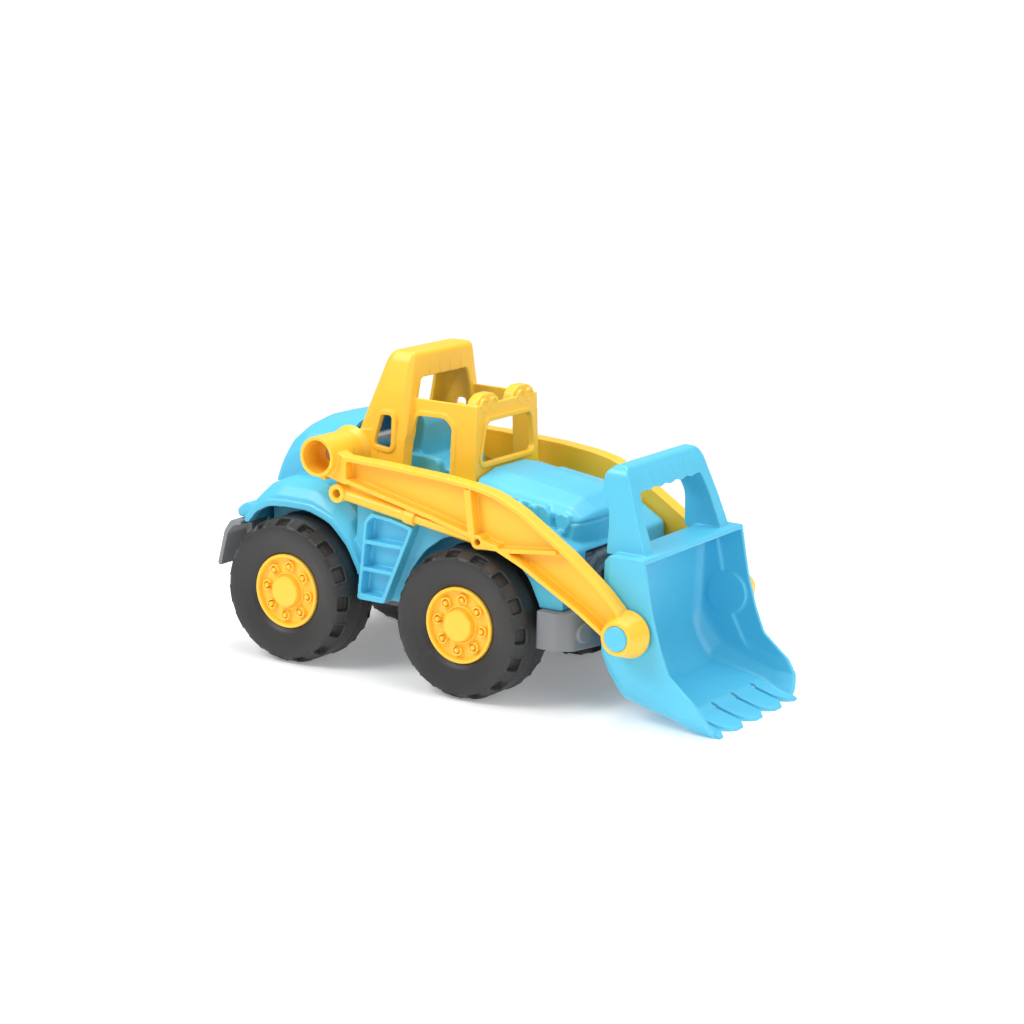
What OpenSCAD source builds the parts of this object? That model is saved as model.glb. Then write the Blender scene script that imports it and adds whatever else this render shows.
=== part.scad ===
// Toy wheel loader: chassis, body, cab, four wheels and two arms carrying a bucket.
// X points forward to the bucket, +Y is the left side, Z is up and the tyres stand on z = 0.
// Places along x are measured from the front axle; place() moves them into the part's frame.

/* [Overall] */
// Distance between the front and rear axles
wheelbase = 135.2; // [132:0.1:140]
// Outer diameter of the tyres
tyre_d = 96; // [90:1:96]
// Width of a tyre
tyre_w = 36; // [30:1:36]
// Distance from the centre plane to the outer tyre face
tyre_face = 80.8; // [80.8:0.1:84]

/* [Wheels] */
// Radius of the yellow hub insert
hub_r = 24.5; // [22:0.1:26]
// Number of lug bolts on a hub
lug_n = 8; // [5:1:10]
// Radius of the lug bolt circle
lug_pcr = 16.5; // [14:0.1:18]
// Number of tread pockets on each shoulder
tread_n = 15; // [8:1:20]
// Depth of the tread pockets
tread_depth = 3; // [1:0.5:4]
// Radius of the steel axles
axle_r = 3; // [2:0.1:3.5]

/* [Loader] */
// Height of the arm pivot above the ground
arm_pivot_z = 140.7; // [138:0.1:142]
// Outer radius of the arm pivot tubes
tube_r = 13; // [12.5:0.1:14]
// Bore radius of the open tube ends
tube_bore = 10.7; // [9:0.1:11]
// Outer end of the tubes from the centre plane
tube_end = 82; // [78:0.5:84]
// Distance from the centre plane to the inner face of an arm
arm_in = 65.2; // [65:0.1:67]
// Depth of the arm flanges
arm_flange = 11; // [8:0.5:12]
// Thickness of the arm web
arm_web = 3; // [2:0.5:5]
// Radius of the bucket pins
pin_r = 7.8; // [6:0.1:8.5]
// Half width of the bucket
bucket_hw = 64; // [60:0.5:64]
// Number of teeth on the cutting edge
teeth_n = 5; // [3:1:7]

/* [Shell] */
// Wall thickness of the moulded shells
wall = 2.6; // [2:0.1:3]
// Half width of the rear fenders
fender_hw = 67; // [60:0.5:67]
// Half width of the front fenders
front_hw = 63.5; // [58:0.5:64]
// Height of the deck under the cab
deck_z = 111; // [110:0.5:112]

/* [Hidden] */

x_front = 13.85;       // front axle in the part's frame
x_rear = -wheelbase;
axles = [0, x_rear];
axle_z = 48;
arm_pivot_x = -111;
shaft_r = 6;           // cross shaft between the arms
pin_x = 113.4;         // bucket pins
pin_z = 59.1;
pin_in = 60.8;         // inner end of a bucket pin
fit = 0.08;            // running clearance

blue = [0.44, 0.81, 0.94];
yellow = [1.0, 0.83, 0.30];
grey = [0.60, 0.61, 0.62];
grille_grey = [0.5, 0.51, 0.52];
black = [0.16, 0.16, 0.17];
steel = [0.75, 0.76, 0.78];

// ---- outlines ------------------------------------------------------------
// An outline is a list of [across, up] or [across, up, corner radius].
// A layer is [half width, x-z outline].
function unit(vector) = vector / norm(vector);
function flat(point) = [point[0], point[1]];
function radius_of(point) = len(point) > 2 ? point[2] : 0;
function direction(from, to) = unit(flat(to) - flat(from));
function polar(vector) = atan2(vector[1], vector[0]);

// Points of the arc that rounds one corner.
function corner(before, point, after) =
  let (radius = radius_of(point), tip = flat(point),
       back = direction(point, before), ahead = direction(point, after),
       angle = acos(max(-1, min(1, back * ahead))))
  (radius <= 0 || angle > 176) ? [tip] :
  let (trim = radius / tan(angle / 2),
       centre = tip + unit(back + ahead) * (radius / sin(angle / 2)),
       start = polar(tip + back * trim - centre),
       turn = polar(tip + ahead * trim - centre) - start,
       sweep = turn > 180 ? turn - 360 : turn < -180 ? turn + 360 : turn,
       steps = max(2, ceil(abs(sweep) / 15)))
  [for (i = [0:steps])
    centre + radius * [cos(start + sweep * i / steps), sin(start + sweep * i / steps)]];
function rounded(outline) =
  let (n = len(outline))
  [for (i = [0:n - 1]) each corner(outline[(i + n - 1) % n], outline[i], outline[(i + 1) % n])];

// Moves the edges of a clockwise outline inwards and reduces its corner radii to suit.
function inset(outline, by) =
  let (n = len(outline))
  [for (i = [0:n - 1])
    let (edge_in = direction(outline[(i + n - 1) % n], outline[i]),
         edge_out = direction(outline[i], outline[(i + 1) % n]),
         normal_in = [edge_in[1], -edge_in[0]],
         normal_out = [edge_out[1], -edge_out[0]],
         moved = flat(outline[i]) + (normal_in + normal_out) * by / (1 + normal_in * normal_out))
    [moved[0], moved[1], max(0, radius_of(outline[i]) - by)]];
function grow(outline, by) = inset(outline, -by);
function inset_layers(layers, by) =
  [for (layer = layers) [layer[0] - by, inset(layer[1], by)]];

// Completes half an outline with its mirror image; axis is the column that changes sign.
function symmetric(half, axis) = concat(half,
  [for (i = [len(half) - 1:-1:0])
    [for (k = [0:len(half[i]) - 1]) (k == axis ? -1 : 1) * half[i][k]]]);

// ---- solids --------------------------------------------------------------
// Plates are named after the axis they are thick along.
module yplate(outline, y0, y1) {
  translate([0, y1, 0]) rotate([90, 0, 0]) linear_extrude(y1 - y0) polygon(rounded(outline));
}
module xplate(outline, x0, x1) {
  translate([x0, 0, 0]) rotate([90, 0, 90]) linear_extrude(x1 - x0) polygon(rounded(outline));
}
module zplate(outline, z0, z1) {
  translate([0, 0, z0]) linear_extrude(z1 - z0) polygon(rounded(outline));
}
module wide_plate(outline, half_width) {
  yplate(outline, -half_width, half_width);
}
module layered(layers, narrower = 0) {
  hull() for (layer = layers) wide_plate(layer[1], layer[0] - narrower);
}
module ycyl(x, z, radius, y0, y1) {
  translate([x, y1, z]) rotate([90, 0, 0]) cylinder(h = y1 - y0, r = radius, $fn = 96);
}
module box(x0, x1, y0, y1, z0, z1) {
  translate([x0, y0, z0]) cube([x1 - x0, y1 - y0, z1 - z0]);
}
module wide_box(x0, x1, half_width, z0, z1) {
  box(x0, x1, -half_width, half_width, z0, z1);
}
module both() {
  children();
  mirror([0, 1, 0]) children();
}
module place() {
  translate([x_front, 0, 0]) children();
}

// ---- chassis -------------------------------------------------------------
pan_top = 62;                // top face of the chassis tray
pan_under = pan_top - 3;
pan_hw = 42;                 // half width of the tray
rail_in = 38;                // inner face of the side rails
rail_z = 40;                 // lower edge of the side rails
rib_xs = [-168, -106, -86, -58, -30, 34];
body_post_xs = [-160, -96, -52, 36];
body_post_y = 28;
retainer_half = 9;           // half length of an axle retainer
retainer_top = 44.5;

// x-z outline of a mudguard
rear_guard = [
  [-181.2, 86.8], [-190, 85.8, 4], [-195.4, 78, 8], [-198.2, 66, 20], [-201, 54, 1.4],
  [-197.8, 53.2, 1.4], [-195, 66, 20], [-192.2, 76.6, 6], [-187.4, 82.4, 4], [-181.2, 83.4]];
// x-y outlines of the bumper and of the hollow below its top
bumper_plan = symmetric([
  [50, -60], [50, -70.5, 2], [64, -70.5, 8], [73.5, -64, 9], [78.5, -44, 30],
  [80, -20, 20], [80.2, 0]], 1);
bumper_hollow = symmetric([
  [45, -68], [63, -67.5, 6], [71.5, -61.5, 8], [76.5, -42, 25], [80, -18, 10]], 1);

module at_body_posts(z) {
  for (x = body_post_xs, side = [-1, 1]) translate([x, side * body_post_y, z]) children();
}
module at_retainer_screws(axle_x, z) {
  for (end = [-1, 1], side = [-1, 1]) translate([axle_x + end * 6, side * 39, z]) children();
}

module bumper() {
  difference() {
    zplate(bumper_plan, 40, 64);
    translate([-3, 0, 0]) zplate(bumper_hollow, 39, 61);
  }
  both() box(48, 74, 36, 40, 44, 61);
  // round lamps
  both() translate([75.6, -55, 51]) rotate([0, 90, -14])
    cylinder(h = 4.8, r = 6.2, center = true, $fn = 48);
}
module chassis_pan() {
  color(grey) place() difference() {
    union() {
      wide_box(-182, 52, pan_hw, pan_under, pan_top);
      both() box(-172, 50, rail_in, pan_hw, rail_z, pan_under);
      for (x = rib_xs) wide_box(x - 1.5, x + 1.5, rail_in, 46, pan_under);
      both() for (x = axles)
        box(x - retainer_half, x + retainer_half, 36, pan_hw, rail_z, pan_under);
      // rear bar that carries the mudguards
      wide_box(-185, -181.2, pan_hw, pan_under, 84);
      wide_box(-186, -181.2, 58, 71, 85);
      both() yplate(rear_guard, 34, 70);
      bumper();
    }
    // axle slots, open from below
    for (x = axles) {
      ycyl(x, axle_z, axle_r + fit, -45, 45);
      wide_box(x - axle_r - fit, x + axle_r + fit, 45, 39, axle_z);
    }
    // body screw holes and their counterbores
    at_body_posts(50) cylinder(h = 20, r = 1.6, $fn = 32);
    at_body_posts(50) cylinder(h = 9.2, r = 3.4, $fn = 32);
    // retainer pilot holes and pockets
    for (x = axles) at_retainer_screws(x, 44.6) cylinder(h = 8, r = 1.15, $fn = 32);
    for (x = axles)
      wide_box(x - retainer_half - 0.2, x + retainer_half + 0.2, 43, 39, retainer_top + 0.1);
  }
}

module axle_retainer(x) {
  color(grey) place() difference() {
    wide_box(x - retainer_half, x + retainer_half, pan_hw, 40.6, retainer_top);
    at_retainer_screws(x, 40) {
      cylinder(h = 6, r = 1.2, $fn = 32);
      cylinder(h = 1.9, r = 2.2, $fn = 32);
    }
    wide_box(x - 5, x + 5, 32, 40, 42.2);
  }
}
module axle_retainer_front() { axle_retainer(0); }
module axle_retainer_rear() { axle_retainer(x_rear); }

// Screw with its head down and a cross recess cut from below.
module screw(length, shank_r, head_h, head_r, slot_w, slot_len, slot_depth) {
  difference() {
    union() {
      cylinder(h = head_h, r = head_r, $fn = 32);
      cylinder(h = length, r = shank_r, $fn = 32);
    }
    translate([-slot_w / 2, -slot_len / 2, -1]) cube([slot_w, slot_len, slot_depth + 1]);
    translate([-slot_len / 2, -slot_w / 2, -1]) cube([slot_len, slot_w, slot_depth + 1]);
  }
}
module retainer_screws() {
  color(steel) place() for (x = axles) at_retainer_screws(x, 40.7)
    screw(length = 9, shank_r = 1.1, head_h = 1.2, head_r = 2.1,
          slot_w = 0.6, slot_len = 2.4, slot_depth = 0.6);
}
module body_screws() {
  color(steel) place() at_body_posts(57)
    screw(length = 15, shank_r = 1.45, head_h = 2.2, head_r = 3.1,
          slot_w = 0.8, slot_len = 4, slot_depth = 1);
}

module engine_grille() {
  color(grille_grey) place() {
    difference() {
      wide_box(49, 60, 33, 64, 94);
      wide_box(48, 57.5, 30.5, 63, 91.5);
      for (y = [-26:6.5:26]) box(56, 61, y - 1.6, y + 1.6, 68, 80);
    }
    // moulded hoses
    ycyl(60, 90, 2.6, -33, 33);
    ycyl(60, 83.5, 2.0, -33, 33);
    for (y = [-18, 18]) translate([60.5, y, 64]) cylinder(h = 26, r = 2.4, $fn = 32);
  }
}

// ---- body ----------------------------------------------------------------
// x-z outlines of the front skirt and its hollow, which share their upper edge
skirt_top = [[-100, deck_z], [44, deck_z, 6], [64, 99, 4], [65, 64.1, 1]];
skirt_line = concat([[-88, 50, 2], [-100, 64]], skirt_top, [[47, 64.1], [-53, 50, 2]]);
hollow_line = concat([[-100, 20]], skirt_top, [[65, 20]]);

// Layers of the rounded rear fender shoulder, down to the height bottom
function shoulder(bottom) = [
  [fender_hw - 12, [
    [-181, bottom], [-181, 97, 8], [-166, 112, 12], [-152, 118, 14], [-124, 118, 14],
    [-109, deck_z, 8], [-96, 100, 8], [-84, 76, 10], [-82, bottom]]],
  [fender_hw - 5, [
    [-180, bottom], [-180, 95, 8], [-168, 107, 12], [-154, 113.5, 14], [-126, 113.5, 14],
    [-110, 106, 8], [-97, 95, 8], [-84, 73, 10], [-82, bottom]]],
  [fender_hw - 1, [
    [-178.5, bottom], [-178.5, 92, 8], [-170, 101, 12], [-155, 107, 14], [-128, 107.4, 14],
    [-110, 101, 8], [-96, 88, 8], [-86, 70, 10], [-84, bottom]]]];

// x-z outlines of the wheel arches
arch_rear = [
  [-190, 20], [-190, 85], [-177.5, 85.5], [-171, 93.5, 8], [-161, 98.8, 14], [-148, 100, 20],
  [-128, 100, 22], [-111, 94.5, 20], [-97, 81, 20], [-88.5, 66, 10], [-86, 50], [-86, 20]];
arch_front = [
  [-53, 20], [-53, 58], [-49, 72, 16], [-38, 87, 18], [-24, 97.5, 18], [-8, 101.5, 20],
  [10, 101.5, 20], [26, 94.5, 18], [40, 81, 18], [47.6, 66, 14], [49.5, 60], [49.5, 20]];

hump_layers = [
  [12, [[-178.6, 111], [-173.2, 131, 8], [-165.4, 144.6, 10], [-151, 153.6, 10],
        [-135, 157.8, 20], [-118, 158.4], [-118, 111]]],
  [26, [[-178, 111], [-173.6, 125, 8], [-167, 139.4, 10], [-157, 148, 10],
        [-141, 153.4, 20], [-118, 154.6], [-118, 111]]],
  [36, [[-175.6, 110], [-171.8, 124.6, 8], [-164, 138.2, 10], [-153, 145, 10],
        [-118, 147.4], [-118, 110]]],
  [42, [[-173.4, 110], [-169, 122.6, 8], [-158.6, 132.2, 10], [-118, 135.4], [-118, 110]]]];
hood_layers = [
  [41, [[-17, 110], [-17, 127, 3], [52, 118.5, 5], [57, 112, 2], [56, 97, 2], [40, 97],
        [40, 110]]],
  [35, [[-17, 110], [-17, 132.6], [52, 123, 6], [60.5, 116.5, 3], [59.5, 97.2, 2],
        [42, 97.2], [42, 110]]],
  [18, [[-17, 110], [-17, 136.5], [50, 127, 8], [63, 119, 6], [62.5, 97.5, 3],
        [44, 97.5], [44, 110]]]];
hood_hollow = [
  [38.4, [[-16, 90], [-16, 124], [52, 116], [54, 112], [53, 94], [40, 90]]],
  [17, [[-16, 90], [-16, 133.5], [50, 123.5], [59.5, 116], [59, 94], [44, 90]]]];

// x-z outlines of a ladder box, its recess, an engine side panel and a rear light pod
ladder = [
  [-84.8, 49.6, 1.5], [-80, 101.5, 5], [-75, 107.5, 3], [-58, 106], [-42, 102.4, 1.5],
  [-63.4, 49.6, 1.5]];
ladder_recess = [
  [-82, 53.6, 1], [-77.6, 101, 4], [-73.5, 105, 3], [-58, 103.4], [-45.6, 100.4],
  [-65, 53.6, 1]];
side_panel = [
  [-8, deck_z - 1], [-8, 129.5, 4], [38, 123.5, 4], [42, 119, 3], [42, deck_z - 1]];
light_pod = [
  [-178.8, 87.4], [-189, 87.4, 2], [-190, 92, 3], [-185, 96.6, 4], [-178.8, 98]];

module skirt() {
  intersection() {
    wide_plate(skirt_line, front_hw);
    wide_box(-92, 70, 70, 40, 125);
  }
  layered(shoulder(64));
}
module skirt_hollow() {
  intersection() {
    wide_plate(inset(hollow_line, wall), front_hw - wall);
    wide_box(-93, 70, 70, 30, 125);
  }
  layered(inset_layers(shoulder(20), wall));
}
module fender_skirt() {
  difference() {
    skirt();
    difference() {
      skirt_hollow();
      // inner wheel house walls and screw posts stand on the chassis tray
      both() box(-176, 60, 39.5, pan_hw, pan_top, 125);
      at_body_posts(pan_top) cylinder(h = 60, r = 4, $fn = 48);
    }
    both() for (arch = [arch_rear, arch_front]) yplate(arch, 43, 75);
  }
}
// raised lip around a rear wheel arch
module arch_lip() {
  difference() {
    intersection() {
      yplate(grow(arch_rear, 4.2), fender_hw - 7, fender_hw);
      box(-181, -84, 50, 70, 64, 110);
    }
    yplate(arch_rear, 43, 75);
  }
}
// hollow cover behind the cab, closed by a plate at its front
module rear_hump() {
  difference() {
    layered(hump_layers);
    translate([2, 0, -2.8]) layered(hump_layers, narrower = wall);
  }
  wide_box(-122, -118, 39, deck_z - 1, 136);
}
module hood() {
  difference() {
    layered(hood_layers);
    layered(hood_hollow);
  }
  wide_box(-17, -14.5, 34, deck_z - 1, 126);
}
// raised engine side panel with three louvres
module engine_side() {
  yplate(side_panel, 36, 45);
  for (x = [10, 20, 30])
    yplate([[x - 3, deck_z - 1], [x - 3, 124, 2.8], [x + 3, 124, 2.8], [x + 3, deck_z - 1]],
           43.6, 47.8);
}
module latch_pad() {
  translate([50, 43.2, 115]) rotate([90, 0, 6]) cylinder(h = 5, r = 5.6, $fn = 8);
  box(47, 53, 38, 44.2, 107.8, 110);
}
module ladder_box() {
  difference() {
    yplate(ladder, front_hw - 4, 72);
    yplate(ladder_recess, front_hw - 1.4, 80);
  }
  // rungs
  for (z = [70, 88]) intersection() {
    box(-90, -40, front_hw - 2, 71.5, z - 1.3, z + 1.3);
    yplate(ladder, 50, 75);
  }
}
module body_shell() {
  color(blue) place() difference() {
    union() {
      fender_skirt();
      rear_hump();
      hood();
      both() {
        arch_lip();
        engine_side();
        latch_pad();
        ladder_box();
        yplate(light_pod, 34, 63);
      }
    }
    at_body_posts(pan_top - 1) cylinder(h = 14, r = 1.5, $fn = 32);
    // the deck is open under the hump and under the hood
    wide_box(-170, -124, 22, 100, 113);
    wide_box(-12, 44, 22, 100, 113);
    // gap for the grille between the front fenders
    wide_box(54, 70, 36, 60, 96.9);
    // room for the arm cross shaft
    ycyl(arm_pivot_x, arm_pivot_z, 9, -43, 43);
  }
}

// x-z outlines of the seat and of the blocks on its sides
seat_line = [
  [-98, deck_z], [-92, 163, 5], [-72, 166, 6], [-70, 158, 3], [-73, 134, 3], [-47, 130, 5],
  [-45, deck_z]];
seat_side = [[-80, deck_z], [-80, 140, 4], [-54, 138, 5], [-50, deck_z]];

module driver_seat() {
  color(blue) place() {
    wide_plate(seat_line, 20);
    both() yplate(seat_side, 20, 27);
  }
}

// ---- cab -----------------------------------------------------------------
// x-z outlines of the side windows
door = [
  [-70.1, 123.5, 2], [-69.1, 149.5, 30], [-65.1, 167, 4], [-43.6, 167.5, 6],
  [-37.6, 162.5, 5], [-37.1, 123.5, 2]];
quarter = [[-92.6, 146, 2.5], [-87.1, 166, 2.5], [-78.6, 166.5, 2.5], [-79.1, 144.5, 3]];
// y-z outlines of the windscreen, of the loop's opening and of its upper end, out and in
screen = symmetric([[-31.8, 140.4, 4], [-25.8, 167, 5]], 0);
loop_opening = symmetric([[-37, deck_z - 1], [-31, 175, 60], [-26.5, 190, 4]], 0);
loop_top = symmetric([[-41.4, 182], [-35, 206.8, 9]], 0);
loop_top_in = symmetric([[-38.8, 182], [-32, 203.4]], 0);
// x-z outlines of the loop's upper part, outside and inside
loop_side = [
  [-101, 170], [-96.8, 185, 10], [-91, 201, 8], [-86, 206.8, 6], [-69.5, 206.8, 4],
  [-68.4, 186], [-68, 170]];
loop_side_in = [
  [-98, 170], [-93.6, 186], [-86, 203.8], [-72, 203.8], [-71, 186], [-70.6, 170]];
// y-z outline of a lamp pod
lamp_pod = [
  [6.5, 173], [9, 180.8, 4], [15, 184.4, 6], [27, 184.4, 6], [33.2, 180.8, 4], [35.4, 173]];
// x-z outline of the cheek plate around the arm pivot
pivot_cheek = [
  [-111, 127.7], [-119, 134, 4], [-119, 147, 4], [-109, 153.5, 5], [-90, 156], [-90, 127.7]];

// tapered channel, open to the front
module grab_loop() {
  difference() {
    hull() {
      wide_box(-105.5, -68, 44.3, deck_z, deck_z + 40);
      wide_plate(loop_side, 33);
      xplate(loop_top, -86, -72);
    }
    hull() {
      wide_box(-102.9, -70.6, 41.7, deck_z - 1, deck_z + 40);
      wide_plate(loop_side_in, 31.6);
      xplate(loop_top_in, -84, -74);
    }
    xplate(loop_opening, -115, -60);
  }
}
module cab_box() {
  difference() {
    hull() {
      wide_box(-72, -18.4, 38.3, deck_z, 131);
      wide_box(-72, -19.6, 35.5, 131, 178);
    }
    hull() {
      wide_box(-80, -21.4, 35.7, deck_z - 1, 131);
      wide_box(-80, -22.6, 32.9, 131, 190);
    }
  }
}
module header_lamps() {
  xplate(lamp_pod, -28.5, -21.2);
  for (y = [16.2, 26.6]) translate([-22, y, 177.4]) rotate([0, 90, 0]) difference() {
    cylinder(h = 2.9, r = 4.5, $fn = 48);
    translate([0, 0, 2.1]) cylinder(h = 2, r = 3.3, $fn = 48);
  }
}
module window_frames() {
  // the door frame leans with the cab side
  both() translate([0, 38.9, 131]) rotate([3.4, 0, 0]) translate([0, 0, -131])
    yplate(grow(door, 3.2), -2, 0.5);
  both() yplate(grow(quarter, 3.2), 42, 45.6);
  xplate(grow(screen, 3), -22, -17.5);
}
module pivot_boss() {
  ycyl(arm_pivot_x, arm_pivot_z, tube_r, 43.6, 58.4);
  yplate(pivot_cheek, 43.2, 44.8);
  translate([arm_pivot_x, 44.4, arm_pivot_z]) rotate([-90, 0, 0])
    cylinder(h = 5.6, r1 = 15.5, r2 = tube_r, $fn = 96);
}
module cab_frame() {
  color(yellow) place() difference() {
    union() {
      grab_loop();
      cab_box();
      both() header_lamps();
      window_frames();
      both() pivot_boss();
    }
    both() for (window = [door, quarter]) yplate(window, 30, 50);
    xplate(screen, -30, -15);
    ycyl(arm_pivot_x, arm_pivot_z, shaft_r + fit, -60, 60);
    // grip grooves across the top bar
    for (y = [-18, -6, 6, 18]) translate([-67.6, y, 189]) cylinder(h = 22, r = 1.7, $fn = 24);
  }
}

// ---- wheels (built on +Y, axle along Y through the origin) ---------------
tyre_r = tyre_d / 2;
tyre_in = tyre_face - tyre_w;   // inner tyre face
seat_y = tyre_face - 18;        // shoulder where the wide part of the hub ends

// [radius, y] half sections
tyre_section = [
  [10, tyre_in], [38, tyre_in], [43, tyre_in + 0.4], [45.4, tyre_in + 2],
  [tyre_r - 0.8, tyre_in + 4.6], [tyre_r, tyre_in + 8], [tyre_r, tyre_face - 7],
  [tyre_r - 0.4, tyre_face - 4.4], [tyre_r - 1.8, tyre_face - 0.9],
  [tyre_r - 3.6, tyre_face + 2.4], [43, tyre_face + 3.4], [41, tyre_face + 3.7],
  [37, tyre_face + 3.3], [31, tyre_face + 1.7], [27, tyre_face + 0.2],
  [hub_r + 1, tyre_face - 0.6], [hub_r + 0.1, tyre_face - 1.4], [hub_r + 0.1, seat_y],
  [10, seat_y]];
hub_section = [
  [0, tyre_in - 0.8], [9.9, tyre_in - 0.8], [9.9, seat_y], [hub_r, seat_y],
  [hub_r, tyre_face - 0.3], [hub_r - 0.5, tyre_face + 0.4], [hub_r - 1.9, tyre_face + 0.4],
  [hub_r - 2.7, tyre_face - 2.4], [hub_r - 3.6, tyre_face - 3.2], [13, tyre_face - 3.2],
  [12.2, tyre_face - 2], [11.2, tyre_face - 2], [10.6, tyre_face - 2.6],
  [10.3, tyre_face + 1.4], [9.4, tyre_face + 2.1], [0, tyre_face + 2.3]];

module tread_pocket(turn, y, radius, tilt) {
  rotate([0, turn, 0]) translate([0, y, radius]) rotate([tilt, 0, 0])
    translate([-4.7, -3.5, -tread_depth]) cube([9.4, 7, 8]);
}
module tyre() {
  color(black) difference() {
    rotate([-90, 0, 0]) rotate_extrude($fn = 144) polygon(tyre_section);
    // the inner row sits half a step round from the outer one
    for (i = [0:tread_n - 1]) {
      tread_pocket(i * 360 / tread_n, tyre_face - 0.4, 45.9, -28.6);
      tread_pocket((i + 0.5) * 360 / tread_n, tyre_in + 5.4, 46.8, 23.4);
    }
  }
}
// slotted ring with a stud in the middle
module lug() {
  difference() {
    cylinder(h = 2.6, r = 3.3, $fn = 32);
    translate([0, 0, 1]) cylinder(h = 3, r = 2.4, $fn = 32);
    translate([-1.2, 0, 1]) cube([2.4, 5, 3]);
  }
  cylinder(h = 3.2, r = 1.6, $fn = 32);
}
module hub() {
  color(yellow) difference() {
    union() {
      rotate([-90, 0, 0]) rotate_extrude($fn = 96) polygon(hub_section);
      for (i = [0:lug_n - 1]) rotate([0, (i + 0.2) * 360 / lug_n, 0])
        translate([0, tyre_face - 3.6, lug_pcr]) rotate([-90, 0, 0]) lug();
    }
    // blind axle bore
    rotate([-90, 0, 0]) translate([0, 0, tyre_in - 2])
      cylinder(h = tyre_w - 4, r = axle_r, $fn = 64);
  }
}
module at_wheel(x, side) {
  place() translate([x, 0, axle_z]) mirror([0, side < 0 ? 1 : 0, 0]) children();
}
module tyre_front_left() { at_wheel(0, 1) tyre(); }
module tyre_front_right() { at_wheel(0, -1) tyre(); }
module tyre_rear_left() { at_wheel(x_rear, 1) tyre(); }
module tyre_rear_right() { at_wheel(x_rear, -1) tyre(); }
module hub_front_left() { at_wheel(0, 1) hub(); }
module hub_front_right() { at_wheel(0, -1) hub(); }
module hub_rear_left() { at_wheel(x_rear, 1) hub(); }
module hub_rear_right() { at_wheel(x_rear, -1) hub(); }

module axle(x) { color(steel) place() ycyl(x, axle_z, axle_r, -72, 72); }
module axle_front() { axle(0); }
module axle_rear() { axle(x_rear); }

// ---- loader arms (built on +Y) -------------------------------------------
arm_out = arm_in + arm_flange;
// x-z outline: upper edge to the front, then lower edge to the back
arm_line = [
  [-100, 142.2], [-65, 141.6, 60], [-20, 139.6, 80], [3, 137.4, 60], [20, 134.6, 50],
  [40, 126, 50], [77, 103, 60], [100, 86, 60], [111, 75.6], [118, 62],
  [104, 55], [82, 69, 80], [41, 91, 60], [20, 99.5, 60], [-26, 111, 80], [-73, 121],
  [-108, 128.6]];
// x-z outlines of two narrow ribs and of the block at the pivot
arm_ribs = [
  [[-2.5, 134], [2.5, 134], [6.5, 106], [1.5, 106]],
  [[27, 97.5], [66, 102.5], [66, 105], [24, 100]]];
pivot_block = [[-110.5, 128.2], [-104, 127], [-92, 124], [-92, 141.5], [-110.5, 149.8]];
// x-z outlines of the plate behind the ram and of the block at the ram's front end
ram_plate = [[-106, 127], [-98, 120], [-60, 112], [8, 102], [24, 98.5], [-20, 112]];
ram_block = [[9, 97.6], [24, 98.4], [24, 102], [9, 104]];
// [x, z] of the ram ends
ram_rear = [-98.7, 117.6];
ram_front = [9.2, 102];
ram_angle = polar(ram_front - ram_rear);

// moulded ram under the arm
module ram() {
  translate([ram_rear[0], 72, ram_rear[1]]) rotate([0, 90 - ram_angle, 0]) {
    cylinder(h = 58, r = 3.9, $fn = 48);
    translate([0, 0, 52]) cylinder(h = 8, r = 4.9, $fn = 48);
    cylinder(h = 106, r = 3.1, $fn = 48);
  }
  ycyl(ram_rear[0], ram_rear[1], 6, 68, 77);
  ycyl(ram_front[0], ram_front[1], 4.6, 68, 76.4);
  yplate(ram_plate, 68.5, 71.5);
  yplate(ram_block, 68, 76);
}
module arm() {
  color(yellow) place() difference() {
    union() {
      difference() {
        yplate(arm_line, arm_in, arm_out);
        yplate(inset(arm_line, 2.8), arm_in + arm_web, arm_out + 5);
      }
      for (rib = arm_ribs) yplate(rib, arm_in, arm_out - 1);
      yplate(pivot_block, arm_in, arm_out);
      // bucket boss
      translate([pin_x, arm_in, pin_z]) rotate([-90, 0, 0]) cylinder(h = 2, r = 15, $fn = 96);
      translate([pin_x, arm_in + 2, pin_z]) rotate([-90, 0, 0])
        cylinder(h = 14, r1 = 15, r2 = 10.4, $fn = 96);
      ram();
    }
    ycyl(arm_pivot_x, arm_pivot_z, tube_r, 50, 90);
    ycyl(pin_x, pin_z, pin_r + fit, 60, 90);
    ycyl(ram_rear[0], ram_rear[1], 3, 60, 90);
    ycyl(ram_front[0], ram_front[1], 2.2, 60, 90);
  }
}
// open pivot tube, fixed in the arm, with a small tab below
module arm_tube() {
  color(yellow) place() difference() {
    union() {
      ycyl(arm_pivot_x, arm_pivot_z, tube_r, 58.6, tube_end);
      yplate([[-116.5, 131], [-115, 124], [-111, 124], [-110.6, 131]], 66, 72);
    }
    ycyl(arm_pivot_x, arm_pivot_z, tube_bore, 64, 90);
    ycyl(arm_pivot_x, arm_pivot_z, shaft_r, 50, 64.5);
  }
}
module arm_left() { arm(); }
module arm_right() { mirror([0, 1, 0]) arm(); }
module arm_tube_left() { arm_tube(); }
module arm_tube_right() { mirror([0, 1, 0]) arm_tube(); }
module arm_cross_shaft() {
  color(steel) place() ycyl(arm_pivot_x, arm_pivot_z, shaft_r, -64, 64);
}

// ---- bucket --------------------------------------------------------------
slot_pitch = 26;   // distance between the slots in the cutting edge
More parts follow.
